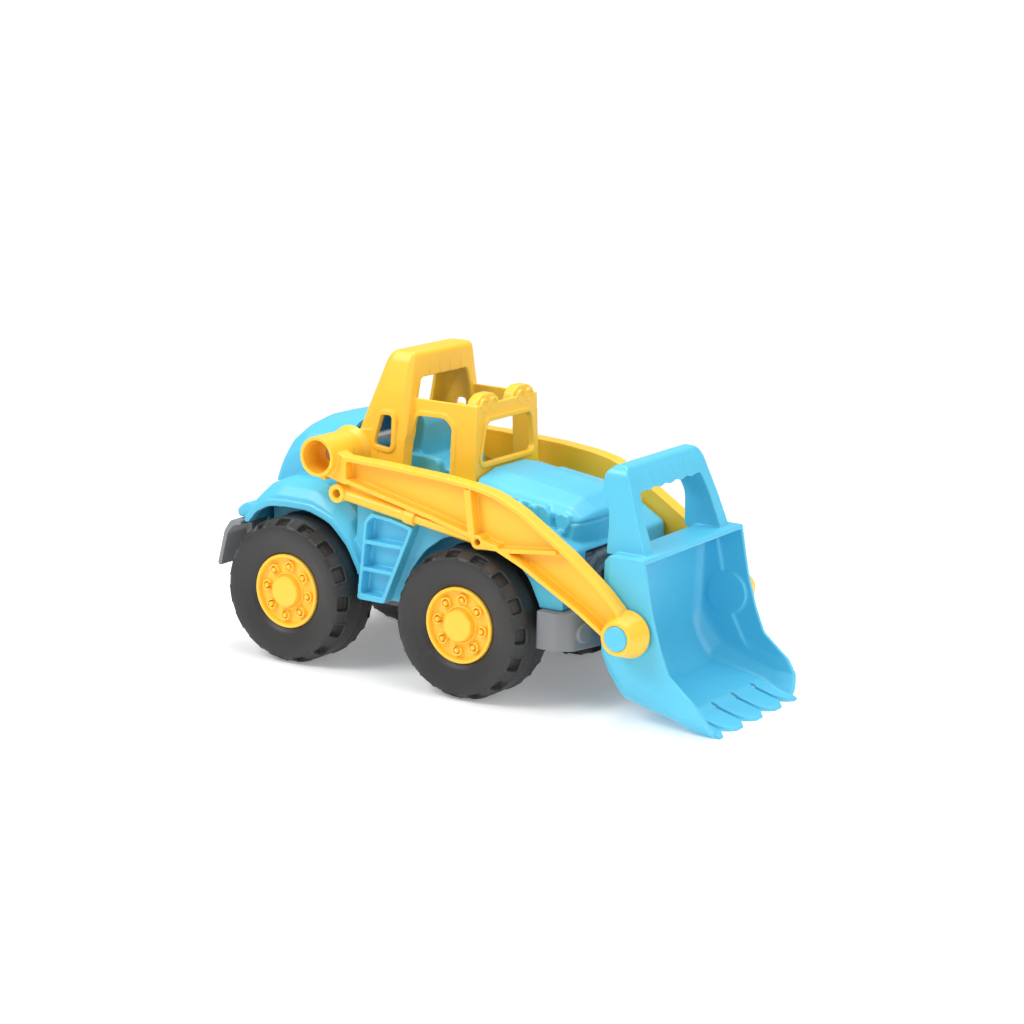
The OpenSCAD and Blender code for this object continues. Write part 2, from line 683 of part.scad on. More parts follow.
// x-z outlines of the bucket, outside and inside
bucket_line = [
  [89, 40, 12], [90, 98, 7], [97, 105.2, 4], [121, 105.2], [127.4, 74, 40], [134, 52.5, 40],
  [140.6, 37, 8], [159, 22, 8], [165, 14, 6], [167.6, 6, 4], [168.4, 0], [160, 0.4],
  [150, 2.6], [146, 6.4], [142, 8], [122, 10.6, 30], [104, 14, 16], [94, 27, 16]];
bucket_line_in = [
  [92, 41, 10], [93, 97, 5], [98.5, 102.6, 3], [135, 102.2], [190, 60], [190, 2.4],
  [160, 3.4], [152, 5.2], [145, 9.4], [122, 13.6, 28], [106, 17, 14], [97, 30, 14]];
// layers that round the back and bottom edges towards the sides
edge_layers = [
  [51, [[88, 39], [88.4, 98], [88.8, 220], [230, 220], [230, -3.4], [166, -1.3],
        [150, 0.9], [103.3, 12.6], [93, 26]]],
  [57.5, [[90, 42], [90.6, 98], [91, 220], [230, 220], [230, 3], [150, 6.2],
          [106, 17.5], [95.5, 31]]],
  [61.8, [[92.5, 46], [93, 98], [93.4, 220], [230, 220], [230, 9], [150, 12],
          [110, 23], [99, 36]]],
  [bucket_hw, [[97.5, 52], [98, 98], [98.4, 220], [230, 220], [230, 19], [150, 21],
               [116, 31], [104, 44]]]];
edge_layers_in = [
  [48.6, [[90.9, 40], [91.4, 98], [91.8, 200], [240, 200], [240, -0.4], [166, 1],
          [150, 3.4], [104.8, 15.2], [95.7, 27.6]]],
  [55, [[92.8, 43], [93.4, 98], [93.8, 200], [240, 200], [240, 5.5], [150, 8.8],
        [107.6, 20], [98, 32.6]]],
  [59.2, [[95.2, 47], [95.8, 98], [96.2, 200], [240, 200], [240, 11.5], [150, 14.6],
          [111.8, 25.5], [101.6, 37.4]]],
  [bucket_hw - wall, [[100.2, 53], [100.8, 98], [101.2, 200], [240, 200], [240, 21.5],
                      [150, 23.6], [118, 33.5], [106.6, 45.4]]]];
// x-z outlines of the side pad, of the lip that carries the teeth and of the handle
side_pad = [
  [91, 41], [92, 97], [97, 104], [102.4, 104], [109.5, 75, 60], [116, 50, 60],
  [127, 30, 20], [138, 16], [141, 9], [104, 14], [94, 28]];
lip = [[148, 7.2], [160, 4.1], [171, 2.2], [172, 1], [172, -0.1], [161, 0.2], [151, 3.2]];
handle_side = [
  [89.5, 103.2], [89, 128, 20], [81.8, 142, 8], [82, 151.6, 5], [87.4, 156.8, 5],
  [95.4, 156.4, 4], [99.4, 149.6, 6], [117, 103.2]];
// y-z outlines of the handle and of its opening
handle_front = symmetric([[-54.5, 103.2], [-52.5, 125, 40], [-46, 157.3, 9]], 0);
handle_opening = symmetric([[-43.5, 100], [-42.5, 125, 20], [-38.5, 141, 4]], 0);
// x-y outline of a slot between the teeth, opening out round the tips
tooth_slot = symmetric([
  [143.5, -0.9], [146, -1.8], [158, -1.8], [163, -2.2], [166.5, -3.4], [169, -5.2],
  [171, -8], [175, -9]], 1);

module grab_handle() {
  difference() {
    intersection() {
      wide_plate(handle_side, 58);
      xplate(handle_front, 70, 130);
    }
    // opening with a scalloped upper edge
    difference() {
      xplate(handle_opening, 70, 130);
      for (y = [-27:13.5:27]) translate([70, y, 148.4]) rotate([0, 90, 0])
        cylinder(h = 60, r = 8.4, $fn = 48);
    }
    // finger grooves on the front of the bar
    for (y = [-20.25:13.5:20.25]) translate([104.4, y, 138]) rotate([0, -20.5, 0])
      cylinder(h = 14, r = 1.4, $fn = 24);
  }
}
module bucket_scoop() {
  intersection() {
    layered(edge_layers);
    union() {
      difference() {
        wide_plate(bucket_line, bucket_hw);
        intersection() {
          wide_plate(bucket_line_in, bucket_hw - wall);
          layered(edge_layers_in);
        }
      }
      both() yplate(side_pad, 59.9, 62.8);
      both() ycyl(pin_x, pin_z, 14, 59.4, 63.1);
    }
  }
}
module bucket() {
  color(blue) place() difference() {
    union() {
      bucket_scoop();
      wide_plate(lip, 52);
      grab_handle();
    }
    both() ycyl(pin_x, pin_z, pin_r, pin_in, 80);
    for (i = [1:teeth_n - 1])
      translate([0, (i - teeth_n / 2) * slot_pitch, 0]) zplate(tooth_slot, -1, 13);
  }
}
module bucket_pin() {
  color(blue) place() difference() {
    union() {
      ycyl(pin_x, pin_z, pin_r, pin_in, 81.6);
      ycyl(pin_x, pin_z, pin_r - 0.8, 81, 82.4);
    }
    ycyl(pin_x, pin_z, 4, 50, 74.5);
  }
}
module bucket_pin_left() { bucket_pin(); }
module bucket_pin_right() { mirror([0, 1, 0]) bucket_pin(); }

chassis_pan();
engine_grille();
body_shell();
driver_seat();
cab_frame();
axle_retainer_front();
axle_retainer_rear();
retainer_screws();
body_screws();
axle_front();
axle_rear();
tyre_front_left();
tyre_front_right();
tyre_rear_left();
tyre_rear_right();
hub_front_left();
hub_front_right();
hub_rear_left();
hub_rear_right();
arm_left();
arm_right();
arm_tube_left();
arm_tube_right();
arm_cross_shaft();
bucket();
bucket_pin_left();
bucket_pin_right();
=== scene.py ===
"""A toy front loader: blue body and bucket, yellow cab, arms and hubs, black tyres.

It stands on z = 0 and faces +X, with its left side at +Y. Shapes are given in mm and meshes are
built in metres. The front axle lies SX mm ahead of the frame's origin. Most pieces are the CAD
solids, remeshed and softened so that they look moulded. Tyres, hubs and hoses are built here.
"""
import bpy
import bmesh
import math
import numpy as np
from mathutils import Matrix, Vector

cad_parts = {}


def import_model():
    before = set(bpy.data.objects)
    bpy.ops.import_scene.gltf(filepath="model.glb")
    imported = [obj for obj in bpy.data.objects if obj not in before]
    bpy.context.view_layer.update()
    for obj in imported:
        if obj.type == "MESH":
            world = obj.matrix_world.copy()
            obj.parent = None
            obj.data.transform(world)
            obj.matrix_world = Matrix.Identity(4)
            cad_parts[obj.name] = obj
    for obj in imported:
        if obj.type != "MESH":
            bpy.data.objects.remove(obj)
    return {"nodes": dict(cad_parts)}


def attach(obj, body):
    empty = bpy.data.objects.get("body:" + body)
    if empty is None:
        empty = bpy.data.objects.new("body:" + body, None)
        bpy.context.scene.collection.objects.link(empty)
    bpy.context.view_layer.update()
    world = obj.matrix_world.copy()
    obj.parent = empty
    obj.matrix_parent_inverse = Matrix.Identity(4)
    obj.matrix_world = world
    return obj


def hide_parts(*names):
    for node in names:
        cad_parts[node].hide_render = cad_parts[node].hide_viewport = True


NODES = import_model()["nodes"]
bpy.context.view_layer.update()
SCENE = bpy.context.scene
COLL = SCENE.collection

MM = 0.001
SX = 13.85                       # front axle, ahead of the frame's origin
WHEELBASE = 135.2
TYRE_R = 48.0
TYRE_W = 36.0
HUB_R = 24.5
OUTER = 80.8                     # y of the tyre's outer face
INNER = OUTER - TYRE_W
SIDES = (("left", 1), ("right", -1))


# ---------------------------------------------------------------- shader nodes
def new_material(name):
    material = bpy.data.materials.new(name)
    material.use_nodes = True
    material.node_tree.nodes.clear()
    return material, material.node_tree


def add(tree, kind, inputs=None, **settings):
    """Adds a node. An input given as a socket is linked, and any other is set as a value."""
    node = tree.nodes.new(kind)
    for key, value in settings.items():
        setattr(node, key, value)
    for key, value in (inputs or {}).items():
        if isinstance(value, bpy.types.NodeSocket):
            tree.links.new(value, node.inputs[key])
        else:
            node.inputs[key].default_value = value
    return node


def noise(tree, vector, scale, detail=2.0, roughness=0.5, distortion=0.0):
    return add(tree, "ShaderNodeTexNoise", {
        "Vector": vector, "Scale": scale, "Detail": detail,
        "Roughness": roughness, "Distortion": distortion}).outputs["Fac"]


def remap(tree, value, source=(0.0, 1.0), target=(0.0, 1.0), **settings):
    return add(tree, "ShaderNodeMapRange", {
        "Value": value, "From Min": source[0], "From Max": source[1],
        "To Min": target[0], "To Max": target[1]}, **settings).outputs[0]


def mix_colour(tree, factor, first, second):
    return add(tree, "ShaderNodeMix", {"A": first, "B": second, "Factor": factor},
               data_type="RGBA").outputs["Result"]


def maths(tree, operation, *values):
    return add(tree, "ShaderNodeMath", dict(enumerate(values)), operation=operation).outputs[0]


def bump_map(tree, height, strength, distance, **inputs):
    return add(tree, "ShaderNodeBump", {
        "Height": height, "Strength": strength, "Distance": distance, **inputs}).outputs[0]


def set_output(tree, shader):
    add(tree, "ShaderNodeOutputMaterial", {0: shader.outputs[0]})


def rgba(colour):
    return (*colour, 1)


# ---------------------------------------------------------------- materials
def plastic(name, base, deep, worn, rough, bump=0.05, subsurface=0.0, specular=0.45):
    """Moulded plastic that drifts from base to deep colour and is scuffed to worn at edges."""
    material, tree = new_material(name)
    place = add(tree, "ShaderNodeTexCoord").outputs["Object"]

    # slow drift of the colour, with paler specks
    drift = remap(tree, noise(tree, place, scale=22.0, detail=3.0, roughness=0.6),
                  source=(0.3, 0.72))
    colour = mix_colour(tree, drift, rgba(base), rgba(deep))
    speck = remap(tree, noise(tree, place, scale=900.0, detail=1.0),
                  source=(0.70, 0.80), target=(0.0, 0.25))
    speck_colour = rgba([min(1.0, c * 1.25 + 0.02) for c in base])
    colour = mix_colour(tree, speck, colour, speck_colour)

    # patchy wear on convex edges
    pointiness = add(tree, "ShaderNodeNewGeometry").outputs["Pointiness"]
    edge = remap(tree, pointiness, source=(0.515, 0.60))
    scuff = remap(tree, noise(tree, place, scale=70.0, detail=6.0, roughness=0.7),
                  source=(0.35, 0.75))
    wear = maths(tree, "MULTIPLY", edge, scuff)
    wear_tint = 0.55
    colour = mix_colour(tree, maths(tree, "MULTIPLY", wear, wear_tint), colour, rgba(worn))

    # roughness: smears, and rougher where worn
    grain = noise(tree, place, scale=1040.0)
    smear = remap(tree, noise(tree, place, scale=38.0, detail=4.0, distortion=0.6),
                  target=(rough - 0.07, rough + 0.10))
    wear_roughness = 0.18
    roughness = maths(tree, "MULTIPLY_ADD", wear, wear_roughness, smear)

    # bump: fine grain and hairline scratches, under a slow waviness
    stretched = add(tree, "ShaderNodeMapping", {
        "Vector": place, "Rotation": (0.4, 0.7, 0.5), "Scale": (1400.0, 60.0, 1400.0)})
    hairline = remap(tree, noise(tree, stretched.outputs[0], scale=1.0),
                     source=(0.66, 0.74), target=(0.0, -0.35))
    wave = noise(tree, place, scale=45.0, detail=1.0)
    normal = bump_map(tree, maths(tree, "ADD", grain, hairline), strength=bump, distance=0.0004)
    normal = bump_map(tree, wave, strength=0.10, distance=0.0012, Normal=normal)

    surface = {"Base Color": colour, "Roughness": roughness, "Normal": normal,
               "Specular IOR Level": specular}
    if subsurface:
        surface.update({"Subsurface Weight": subsurface, "Subsurface Radius": (1.0, 0.8, 0.6),
                        "Subsurface Scale": 0.0025})
    set_output(tree, add(tree, "ShaderNodeBsdfPrincipled", surface))
    return material


def metal(name, base, rough):
    """Brushed metal with darker stains."""
    material, tree = new_material(name)
    place = add(tree, "ShaderNodeTexCoord").outputs["Object"]
    stretched = add(tree, "ShaderNodeMapping", {"Vector": place, "Scale": (900, 25, 900)})
    brush = noise(tree, stretched.outputs[0], scale=1.0, detail=4.0)
    stain = noise(tree, place, scale=120.0)
    set_output(tree, add(tree, "ShaderNodeBsdfPrincipled", {
        "Base Color": mix_colour(tree, stain, rgba(base), rgba([c * 0.7 for c in base])),
        "Roughness": remap(tree, brush, target=(rough - 0.1, rough + 0.15)),
        "Normal": bump_map(tree, brush, strength=0.15, distance=0.0002),
        "Metallic": 1.0}))
    return material


# keyed by slot name
MATERIALS = {
    "blue_plastic": plastic(
        "blue_plastic", base=(0.100, 0.540, 0.760), deep=(0.080, 0.500, 0.730),
        worn=(0.40, 0.76, 0.90), rough=0.37, subsurface=0.05, specular=0.55),
    "yellow_plastic": plastic(
        "yellow_plastic", base=(0.97, 0.555, 0.038), deep=(0.93, 0.520, 0.028),
        worn=(1.0, 0.76, 0.30), rough=0.37, subsurface=0.05, specular=0.55),
    "grey_plastic": plastic(
        "grey_plastic", base=(0.225, 0.235, 0.25), deep=(0.19, 0.20, 0.215),
        worn=(0.38, 0.39, 0.40), rough=0.46),
    "dark_grey_plastic": plastic(
        "dark_grey_plastic", base=(0.215, 0.225, 0.24), deep=(0.18, 0.19, 0.20),
        worn=(0.38, 0.39, 0.40), rough=0.46),
    "black_tyre": plastic(
        "black_tyre", base=(0.022, 0.021, 0.021), deep=(0.016, 0.0155, 0.0155),
        worn=(0.07, 0.068, 0.066), rough=0.46, bump=0.10, specular=0.5),
    "steel": metal("steel", base=(0.60, 0.61, 0.62), rough=0.32),
}


# ---------------------------------------------------------------- mesh tools
def mesh_object(name, verts, faces):
    mesh = bpy.data.meshes.new(name)
    mesh.from_pydata([tuple(v) for v in verts], [], faces)
    mesh.update()
    ob = bpy.data.objects.new(name, mesh)
    COLL.objects.link(ob)
    return ob


def grid_object(name, points):
    """A skin over points (around, along, xyz) in mm. The first index wraps round."""
    around, along = points.shape[:2]
    faces = []
    for i in range(around):
        j = (i + 1) % around
        for k in range(along - 1):
            faces.append((i * along + k, j * along + k, j * along + k + 1, i * along + k + 1))
    return mesh_object(name, points.reshape(-1, 3) * MM, faces)


def bake(ob):
    """Applies all modifiers."""
    depsgraph = bpy.context.evaluated_depsgraph_get()
    depsgraph.update()
    mesh = bpy.data.meshes.new_from_object(ob.evaluated_get(depsgraph))
    old = ob.data
    ob.modifiers.clear()
    ob.data = mesh
    mesh.name = ob.name
    if old.users == 0:
        bpy.data.meshes.remove(old)


def smooth_all(ob):
    ob.data.polygons.foreach_set("use_smooth", np.ones(len(ob.data.polygons), bool))
    ob.data.update()


def weld(ob, distance):
    bm = bmesh.new()
    bm.from_mesh(ob.data)
    bmesh.ops.remove_doubles(bm, verts=bm.verts, dist=distance)
    bmesh.ops.recalc_face_normals(bm, faces=bm.faces)
    bm.to_mesh(ob.data)
    bm.free()


def ramp(start, end, value):
    """Rises straight from 0 at start to 1 at end. The end may be the lower number."""
    return np.clip((value - start) / (end - start), 0, 1)


def smoothstep(start, end, value):
    t = ramp(start, end, value)
    return t * t * (3 - 2 * t)


def full_turn(count):
    return np.arange(count) * 2 * math.pi / count


def round_axle(radius, y, angle):
    """Points round the Y axis, with angle 0 at the top."""
    return np.stack([radius * np.sin(angle), np.broadcast_to(y, angle.shape),
                     radius * np.cos(angle)], -1)


def vertex_values(ob, field, number_type):
    values = np.empty(len(ob.data.vertices) * 3, number_type)
    ob.data.vertices.foreach_get(field, values)
    return values.reshape(-1, 3)


def weigh(ob, name, zone):
    """Fills a vertex group from a zone function, in steps of a tenth."""
    co = vertex_values(ob, "co", np.float32) * 1000.0
    co[:, 0] -= SX
    weights = zone(co[:, 0], np.abs(co[:, 1]), co[:, 2])
    tenths = np.round(np.clip(weights, 0, 1) * 10).astype(int)
    group = ob.vertex_groups.new(name=name)
    for k in range(1, 11):
        members = np.nonzero(tenths == k)[0]
        if len(members):
            group.add([int(v) for v in members], k / 10.0, "REPLACE")


def add_smooth(ob, name, iterations, group=""):
    smooth = ob.modifiers.new(name, "SMOOTH")
    smooth.factor = 0.5
    smooth.iterations = iterations
    smooth.vertex_group = group


def soften(ob, voxel, rounds, keep, zones, carve):
    """Turns sharp solids into a moulded shape.

    An even mesh of voxel mm is smoothed for some rounds, then more in each (zone, radius in mm),
    moved along its normals by carve, and thinned to the share keep of its faces.
    """
    even = ob.modifiers.new("even", "REMESH")
    even.mode = "VOXEL"
    even.voxel_size = voxel * MM
    even.adaptivity = 0.0
    add_smooth(ob, "round", rounds)
    bake(ob)
    for k, (zone, radius) in enumerate(zones):
        weigh(ob, f"zone_{k}", zone)
        add_smooth(ob, f"broad_{k}", int(max(4, (radius / voxel) ** 2)), f"zone_{k}")
    if carve is not None:
        bake(ob)
        co = vertex_values(ob, "co", float) * 1000.0
        normal = vertex_values(ob, "normal", float)
        co += normal * carve(co[:, 0] - SX, np.abs(co[:, 1]), co[:, 2], normal)[:, None]
        ob.data.vertices.foreach_set("co", (co / 1000.0).ravel())
        ob.data.update()
    if keep < 1.0:
        ob.modifiers.new("thin", "DECIMATE").ratio = keep
    if zones or keep < 1.0:
        bake(ob)
    ob.vertex_groups.clear()
    smooth_all(ob)


def finish_piece(ob, body, slot, *nodes):
    """Gives a piece its material and tells the frame what it rides on and replaces."""
    ob.data.materials.clear()
    ob.data.materials.append(MATERIALS[slot])
    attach(ob, body)
    if nodes:
        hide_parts(*nodes)


def copy_cad(name, nodes):
    """One object made from copies of the CAD nodes."""
    copies = []
    for node in nodes:
        mesh = NODES[node].data.copy()
        mesh.materials.clear()
        ob = bpy.data.objects.new(name, mesh)
        COLL.objects.link(ob)
        copies.append(ob)
    joined = copies[0]
    if len(copies) > 1:
        bm = bmesh.new()
        for ob in copies:
            bm.from_mesh(ob.data)
        bm.to_mesh(joined.data)
        bm.free()
        for ob in copies[1:]:
            bpy.data.objects.remove(ob)
    weld(joined, 2e-6)
    return joined


def moulded(nodes, name, body, slot, voxel, rounds, keep, zones=(), carve=None):
    ob = copy_cad(name, nodes)
    soften(ob, voxel, rounds, keep, zones, carve)
    finish_piece(ob, body, slot, *nodes)


# ---------------------------------------------------------------- wheels
# Closed tyre section (radius, y), from the bore on the outer side to the bore on the inner side
TYRE_PROFILE = [
    (10.0, OUTER - 18.0), (24.6, OUTER - 18.0), (24.6, OUTER - 1.4), (25.0, OUTER - 0.9),
    (25.8, OUTER - 0.55), (27.0, OUTER + 0.2), (31.0, OUTER + 1.7), (35.0, OUTER + 2.9),
    (38.5, OUTER + 3.5), (41.0, OUTER + 3.7), (42.4, OUTER + 3.55), (43.4, OUTER + 3.1),
    (44.4, OUTER + 2.3), (46.2, OUTER - 1.0), (47.4, OUTER - 3.8), (47.9, OUTER - 5.8),
    (TYRE_R, OUTER - 8.0), (TYRE_R, INNER + 8.5), (47.7, INNER + 6.4), (47.0, INNER + 4.4),
    (45.4, INNER + 2.0), (43.6, INNER + 0.7), (42.0, INNER + 0.15), (38, INNER), (30, INNER),
    (10.0, INNER)]
POCKETS = 15                     # in each row
POCKET_R = 46.4                  # radius at which pocket lengths are measured
POCKET_HALF = (3.9, 2.9)         # half sizes: round the tyre, across the row
# Rows of pockets: centre y, centre radius, tilt in degrees, shift in pitches
POCKET_ROWS = ((OUTER - 0.4, 45.9, 28.6, 0.0), (INNER + 5.4, 46.8, -23.4, 0.5))

# Radii of the hub's face rings: from, to, count
HUB_RINGS = ((0.0, 8.8, 8), (9.1, 10.9, 16), (11.1, 12.8, 9), (13.0, 20.4, 42), (20.6, HUB_R, 26))
# Face of the hub (radius, height beyond OUTER): cap, ring round it, floor of the dish, rim lip
HUB_FACE = [
    (0, 2.35), (6, 2.3), (8.9, 2.15), (9.6, 1.95), (10.15, 1.4), (10.45, -2.4), (10.8, -2.55),
    (11.2, -1.9), (11.9, -1.9), (12.3, -2.3), (12.9, -3.3), (20.6, -3.3), (21.1, -3.1),
    (21.6, -2.6), (22.1, -0.3), (22.6, 0.35), (23.0, 0.5), (24.0, 0.4), (HUB_R, -0.2)]
# Back of the hub (radius, y): side wall, web, inner boss, axle bore
HUB_BACK = [
    (HUB_R, OUTER - 6), (HUB_R, OUTER - 17.9), (9.9, OUTER - 17.9), (9.9, INNER - 0.8),
    (3.0, INNER - 0.8), (3.0, OUTER - 9), (0.0, OUTER - 9)]
NUB_CIRCLE_R = 16.5


def tyre_section():
    """The tyre's profile with extra points, closer together near the tread."""
    fine_step, coarse_step = ((0.45, 1.6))
    points = []
    for a, b in zip(TYRE_PROFILE, TYRE_PROFILE[1:]):
        length = math.hypot(b[0] - a[0], b[1] - a[1])
        step = fine_step if min(a[0], b[0]) > 40 else coarse_step
        n = max(1, int(round(length / step)))
        for k in range(n):
            points.append((a[0] + (b[0] - a[0]) * k / n, a[1] + (b[1] - a[1]) * k / n))
    points.append(TYRE_PROFILE[-1])
    return np.array(points)


def tyre_master():
    section = tyre_section()
    along = len(section)
    around = 720
    radius0 = np.repeat(section[None, :, 0], around, 0)
    y0 = np.repeat(section[None, :, 1], around, 0)
    angle = np.repeat(full_turn(around)[:, None], along, 1)
    radius, y = radius0.copy(), y0.copy()

    # two rows of rounded rectangular pockets, half a pitch apart, each in a raised frame
    pitch = 2 * math.pi / POCKETS
    for row_y, row_r, tilt, shift in POCKET_ROWS:
        normal_y, normal_r = math.sin(math.radians(tilt)), math.cos(math.radians(tilt))
        round_tyre = ((angle / pitch + shift + 0.5) % 1.0 - 0.5) * pitch * POCKET_R
        across = (y0 - row_y) * normal_r - (radius0 - row_r) * normal_y
        off_plane = np.abs((y0 - row_y) * normal_y + (radius0 - row_r) * normal_r)
        in_row = (radius0 > 41.0) * (off_plane < 3.0)
        du, dv = np.abs(round_tyre) - POCKET_HALF[0], np.abs(across) - POCKET_HALF[1]
        outside = np.hypot(np.maximum(du, 0), np.maximum(dv, 0)) \
            + np.minimum(np.maximum(du, dv), 0)
        pocket = (1 - smoothstep(0.25, 1.05, outside)) * in_row
        raised = np.exp(-((outside - 1.6) / 0.7) ** 2) * in_row
        depth = 3.1 * pocket - 0.6 * raised
        radius = radius - depth * normal_r
        y = y - depth * normal_y

    # a shallow groove between the rows, and a fine raised ring on the outer wall
    middle = (y0 > INNER + 11) * (y0 < OUTER - 8) * (radius0 > 47)
    radius = radius - 0.5 * middle * np.exp(-((y0 - (INNER + 17.0)) / 1.6) ** 2)
    wall = (radius0 > 26) * (radius0 < 31) * (y0 > OUTER - 4)
    y = y + 0.35 * wall * np.exp(-((radius0 - 28.4) / 0.7) ** 2)
    ob = grid_object("tyre_master", round_axle(radius, y, angle))

    # join the section's two ends along the bore
    bm = bmesh.new()
    bm.from_mesh(ob.data)
    bm.verts.ensure_lookup_table()
    first = [bm.verts[i * along] for i in range(around)]
    last = [bm.verts[i * along + along - 1] for i in range(around)]
    for i in range(around):
        j = (i + 1) % around
        bm.faces.new((last[i], last[j], first[j], first[i]))
    bmesh.ops.recalc_face_normals(bm, faces=bm.faces)
    bm.to_mesh(ob.data)
    bm.free()
    smooth_all(ob)
    return ob


def hub_master():
    turn = full_turn(640)
    rings = np.concatenate([np.linspace(*ring) for ring in HUB_RINGS])
    angle, radius = np.meshgrid(turn, rings, indexing="ij")
    height = np.interp(radius, *np.array(HUB_FACE).T)
    # fine groove round the cap
    height = height - 0.35 * np.exp(-((radius - 8.3) / 0.32) ** 2)
    # eight nubs in the dish, each in a ring that is open towards the centre or away from it
    for i in range(8):
        a = (i + 0.11) * math.pi / 4
        x = radius * np.sin(angle) - NUB_CIRCLE_R * math.sin(a)
        z = radius * np.cos(angle) - NUB_CIRCLE_R * math.cos(a)
        distance = np.hypot(x, z)
        outward = (x * math.sin(a) + z * math.cos(a)) / np.maximum(distance, 1e-6)
        ring = smoothstep(2.2, 2.6, distance) * (1 - smoothstep(3.45, 3.95, distance)) \
            * smoothstep(-0.95, -0.7, outward)
        height = height + 2.6 * ring + 3.3 * (1 - smoothstep(1.3, 1.85, distance))
    face = round_axle(radius, OUTER + height, angle)
    back = [round_axle(r, y, turn)[:, None, :] for r, y in HUB_BACK]
    ob = grid_object("hub_master", np.concatenate([face] + back, 1))
    weld(ob, 1e-6)
    smooth_all(ob)
    return ob


def wheel_part(master, x, side, turn, name, body, slot, node):
    """A copy of a master, x mm from the front axle, turned by degrees and mirrored if right."""
    ob = bpy.data.objects.new(name, master.data.copy())
    COLL.objects.link(ob)
    place = Matrix.Translation(((SX + x) * MM, 0, TYRE_R * MM)) \
        @ Matrix.Rotation(math.radians(turn), 4, "Y")
    if side < 0:
        place = place @ Matrix.Diagonal((1, -1, 1, 1))
    ob.data.transform(place)
    if side < 0:
        ob.data.flip_normals()
    finish_piece(ob, body, slot, node)


def build_wheels():
    tyre, hub = tyre_master(), hub_master()
    for end, x, turn in (("front", 0.0, -6.8), ("rear", -WHEELBASE, -4.5)):
        for side, sign in SIDES:
            wheel_part(tyre, x, sign, turn, f"{end}_{side}_tyre", f"{end}_wheels",
                       "black_tyre", f"tyre_{end}_{side}")
            wheel_part(hub, x, sign, 0.0, f"{end}_{side}_hub", f"{end}_wheels",
                       "yellow_plastic", f"hub_{end}_{side}")
    bpy.data.objects.remove(tyre)
    bpy.data.objects.remove(hub)


build_wheels()


# ---------------------------------------------------------------- rounding zones
# A zone gives the weight of extra rounding, 0 to 1. x is measured from the front axle, y is the
# distance from the middle plane and z is the height, all in mm.
# Side-view outlines (x, z) that stay crisp
REAR_ARCH = [(-190, 85), (-177.5, 85.5), (-171, 93.5), (-161, 98.8), (-148, 100), (-128, 100),
             (-111, 94.5), (-97, 81), (-88.5, 66), (-86, 50)]
FRONT_ARCH = [(-53, 50), (-53, 58), (-49, 72), (-38, 87), (-24, 97.5), (-8, 101.5), (10, 101.5),
              (26, 94.5), (40, 81), (47.6, 66), (49.5, 50)]
BUCKET_RIM = [(118, 105), (121, 105.2), (127.4, 74), (134, 52.5), (140.6, 37), (159, 22),
              (168, 6), (168, 0)]


def away(outline, near, far):
    """A function of x, z: 0 within near mm of an outline, 1 beyond far mm."""
    corners = np.array(outline, float)

    def weight(x, z):
        nearest = np.full(x.shape, 1e9)
        for a, b in zip(corners[:-1], corners[1:]):
            ab = b - a
            t = np.clip(((x - a[0]) * ab[0] + (z - a[1]) * ab[1]) / (ab @ ab), 0, 1)
            distance = np.hypot(x - a[0] - t * ab[0], z - a[1] - t * ab[1])
            nearest = np.minimum(nearest, distance)
        return ramp(near, far, nearest)
    return weight


off_rear_arch = away(REAR_ARCH, 7, 14)
off_front_arch = away(FRONT_ARCH, 6, 12)
off_bucket_rim = away(BUCKET_RIM, 5, 12)


def zone_rear(x, y, z):
    return ramp(-92, -100, x) * ramp(84, 92, z) * np.where(y > 40, off_rear_arch(x, z), 1.0)


def zone_hump(x, y, z):
    return ramp(-119.5, -123.5, x) * ramp(112, 120, z) * ramp(44, 41, y)


def zone_hood(x, y, z):
    side = np.where(y > 35.5, np.maximum(ramp(45, 49, x), 0.3), 1.0)
    return ramp(-8, -2, x) * ramp(104, 110, z) * side * 0.9


def zone_front(x, y, z):
    return ramp(-60, -52, x) * ramp(84, 92, z) * ramp(46, 49, y) * off_front_arch(x, z)


def zone_step(x, y, z):
    return ramp(9, 5, np.abs(x + 91)) * ramp(80, 86, z) * ramp(48, 51, y) \
        * off_rear_arch(x, z) * np.where(x > -83, 0.0, 1.0)


def zone_loop(x, y, z):
    return ramp(176, 186, z) * np.where((y < 22) & (x > -73), 0.0, 1.0)


def zone_bucket(x, y, z):
    return ramp(43, 49, y) * ramp(96, 88, z) * ramp(142, 136, x) * off_bucket_rim(x, z)


def zone_handle(x, y, z):
    return ramp(112, 120, z) * np.where((x > 96) & (y < 24), 0.25, 1.0)


def zone_all(x, y, z):
    return np.ones_like(x)


def hood_seam(x, y, z, normal):
    """Parting line of the hood's lid, in mm along the normal."""
    line = 114.6 - 0.03 * (x - 55)
    on_side = (np.abs(normal[:, 2]) < 0.75) & (x > 20) & (z < 121) \
        & ((x > 43) | (y < 44)) & ~((y > 42) & (x < 57))
    return -0.75 * np.exp(-((z - line) / 0.75) ** 2) * on_side


